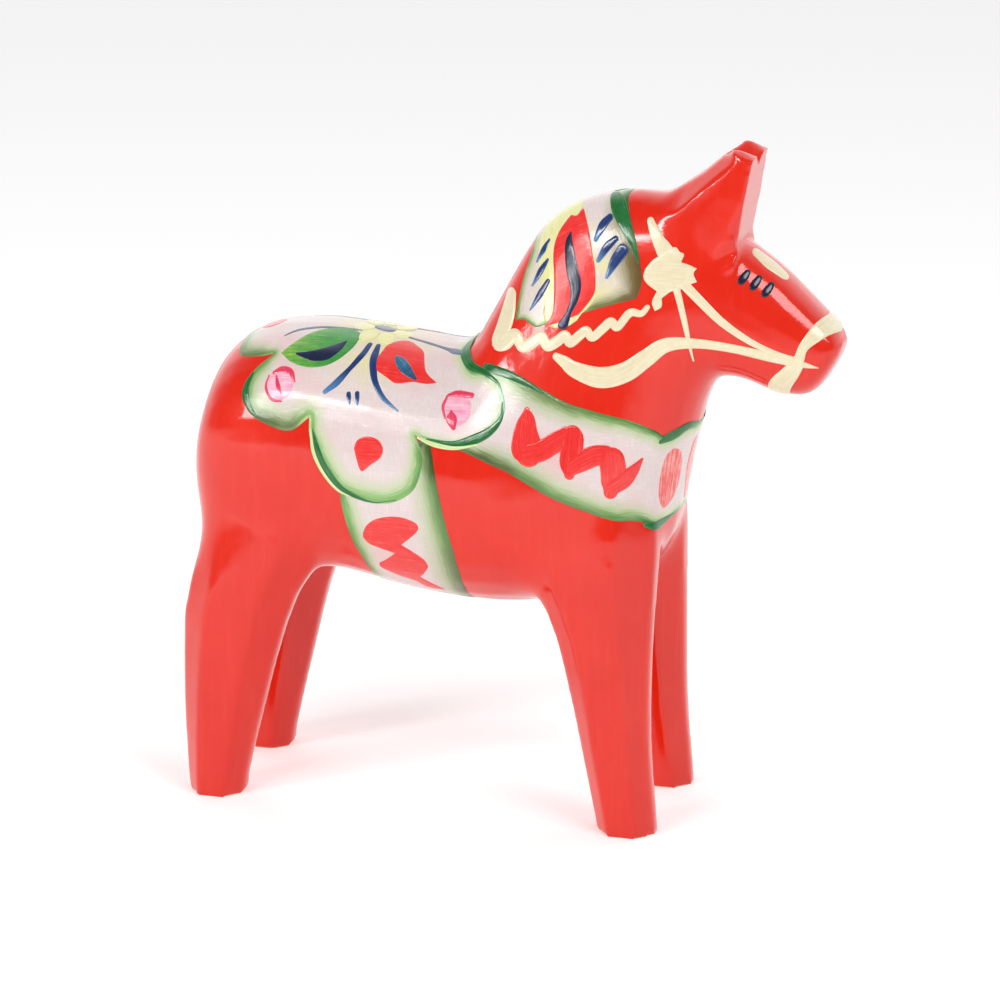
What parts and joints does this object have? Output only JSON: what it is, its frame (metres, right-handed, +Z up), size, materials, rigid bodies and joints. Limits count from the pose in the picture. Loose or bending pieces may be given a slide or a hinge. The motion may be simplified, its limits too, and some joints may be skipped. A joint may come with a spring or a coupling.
{
  "type": "painted wooden horse figurine",
  "caption": "Whittled wooden horse standing on four blunt legs, painted glossy red with a folk-painted saddle, collar, girth, mane and bridle.",
  "frame": {"origin": "centre of the bounding box's footprint, on the plane that the four soles stand on", "axes": "+X forward towards the nose, +Y towards the horse's own left, +Z up"},
  "size_m": [0.1244, 0.0412, 0.1293],
  "materials": {
    "red_lacquered_pine": "opaque vermilion paint on whittled pine under clear gloss varnish",
    "ground_paint": "blush-white oil paint with rippled green shading at the edges, under clear gloss varnish",
    "stroke_paint": "thick cream brush strokes under clear gloss varnish",
    "eye_paint": "navy brush dabs under clear gloss varnish"
  },
  "bodies": {
    "root": {"carved_body": "red_lacquered_pine", "saddle_blanket": "ground_paint", "girth_band": "ground_paint", "breast_collar": "ground_paint", "mane_panel": "ground_paint", "noseband": "stroke_paint", "forehead_blaze": "stroke_paint", "mane_zigzag_right": "stroke_paint", "rein_right": "stroke_paint", "headstall_right": "stroke_paint", "eye_mark_right_1": "eye_paint", "eye_mark_right_2": "eye_paint", "eye_mark_right_3": "eye_paint", "mane_zigzag_left": "stroke_paint", "rein_left": "stroke_paint", "headstall_left": "stroke_paint", "eye_mark_left_1": "eye_paint", "eye_mark_left_2": "eye_paint", "eye_mark_left_3": "eye_paint"}
  },
  "joints": []
}
